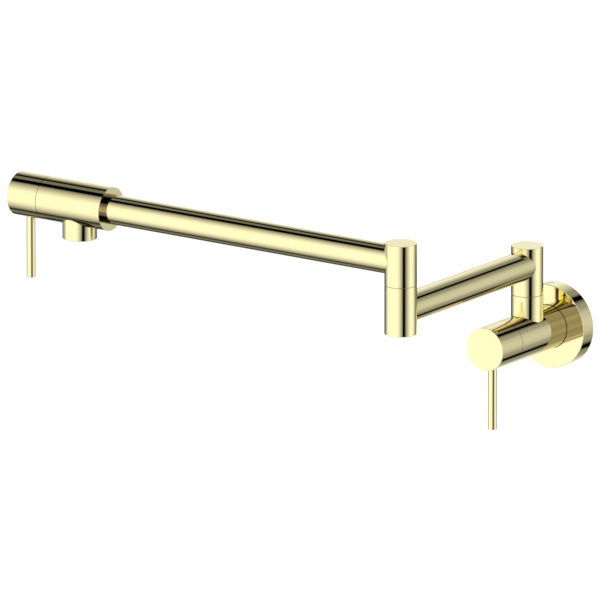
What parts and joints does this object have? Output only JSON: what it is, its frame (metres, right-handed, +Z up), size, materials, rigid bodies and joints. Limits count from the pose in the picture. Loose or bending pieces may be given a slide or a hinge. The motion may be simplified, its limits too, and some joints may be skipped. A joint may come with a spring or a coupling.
{
  "type": "wall mounted pot filler",
  "caption": "Wall mounted pot filler tap with a folding double-jointed arm, a lever valve at the wall and a second lever valve at the spout.",
  "frame": {"origin": "on the inlet's axis, in the wall plane that the flange's back rests on", "axes": "+Z up; -Y straight out of the wall, along the wall valve's axis; -X along the outer arm towards the spout in the stored pose"},
  "size_m": [0.4069, 0.2557, 0.1839],
  "materials": {
    "polished_gold": "pale gold plating on brass, mirror polished",
    "bare_brass": "turned brass, fine tool marks",
    "ceramic": "lapped white ceramic",
    "rubber": "black rubber, satin",
    "fibre": "red-brown fibre, matt",
    "nylon": "natural white nylon",
    "steel": "stainless steel, satin",
    "aerator_plastic": "pale grey moulded plastic"
  },
  "bodies": {
    "wall_unit": {"inlet_nipple": "bare_brass", "inlet_washer": "fibre", "wall_flange": "polished_gold", "flange_o_ring": "rubber", "wall_valve_body": "polished_gold", "wall_base_seal": "rubber", "wall_cartridge_body": "bare_brass", "wall_cartridge_o_ring": "rubber", "wall_fixed_disc": "ceramic", "wall_cartridge_nut": "bare_brass", "shoulder_riser": "polished_gold", "shoulder_lower_o_ring": "rubber", "shoulder_upper_o_ring": "rubber", "shoulder_clip": "steel"},
    "wall_handle": {"wall_handle_hub": "polished_gold", "wall_lever": "polished_gold", "wall_grub_screw": "steel", "wall_spindle": "bare_brass", "wall_spindle_o_ring": "rubber", "wall_spindle_clip": "steel", "wall_moving_disc": "ceramic"},
    "inner_arm": {"shoulder_thrust_washer": "nylon", "shoulder_glide_washer": "nylon", "shoulder_housing": "polished_gold", "shoulder_top_cap": "polished_gold", "inner_arm_tube": "polished_gold", "elbow_lower_housing": "polished_gold", "elbow_bottom_cap": "polished_gold", "elbow_spindle": "bare_brass", "elbow_lower_o_ring": "rubber", "elbow_upper_o_ring": "rubber", "elbow_clip": "steel"},
    "outer_arm": {"elbow_thrust_washer": "nylon", "elbow_glide_washer": "nylon", "elbow_upper_housing": "polished_gold", "elbow_top_cap": "polished_gold", "outer_arm_tube": "polished_gold", "spout_valve_body": "polished_gold", "spout_base_seal": "rubber", "spout_cartridge_body": "bare_brass", "spout_cartridge_o_ring": "rubber", "spout_fixed_disc": "ceramic", "spout_cartridge_nut": "bare_brass", "nozzle": "polished_gold", "aerator_body": "aerator_plastic", "aerator_screen": "steel", "aerator_seal": "rubber"},
    "spout_handle": {"spout_handle_hub": "polished_gold", "spout_lever": "polished_gold", "spout_grub_screw": "steel", "spout_spindle": "bare_brass", "spout_spindle_o_ring": "rubber", "spout_spindle_clip": "steel", "spout_moving_disc": "ceramic"}
  },
  "joints": [
    {"name": "wall_handle_turn", "type": "hinge", "parent": "wall_unit", "child": "wall_handle", "pos_m": [0, -0.09, 0], "axis": [0, -1, 0], "range_deg": [0, 90]},
    {"name": "shoulder_swivel", "type": "hinge", "parent": "wall_unit", "child": "inner_arm", "pos_m": [0, -0.044, 0.0579], "axis": [0, 0, 1], "range_deg": [-90, 90]},
    {"name": "elbow_swivel", "type": "hinge", "parent": "inner_arm", "child": "outer_arm", "pos_m": [0, -0.22, 0.0982], "axis": [0, 0, 1], "range_deg": [-90, 270]},
    {"name": "spout_handle_turn", "type": "hinge", "parent": "outer_arm", "child": "spout_handle", "pos_m": [-0.36, -0.22, 0.0982], "axis": [-1, 0, 0], "range_deg": [0, 90]}
  ]
}
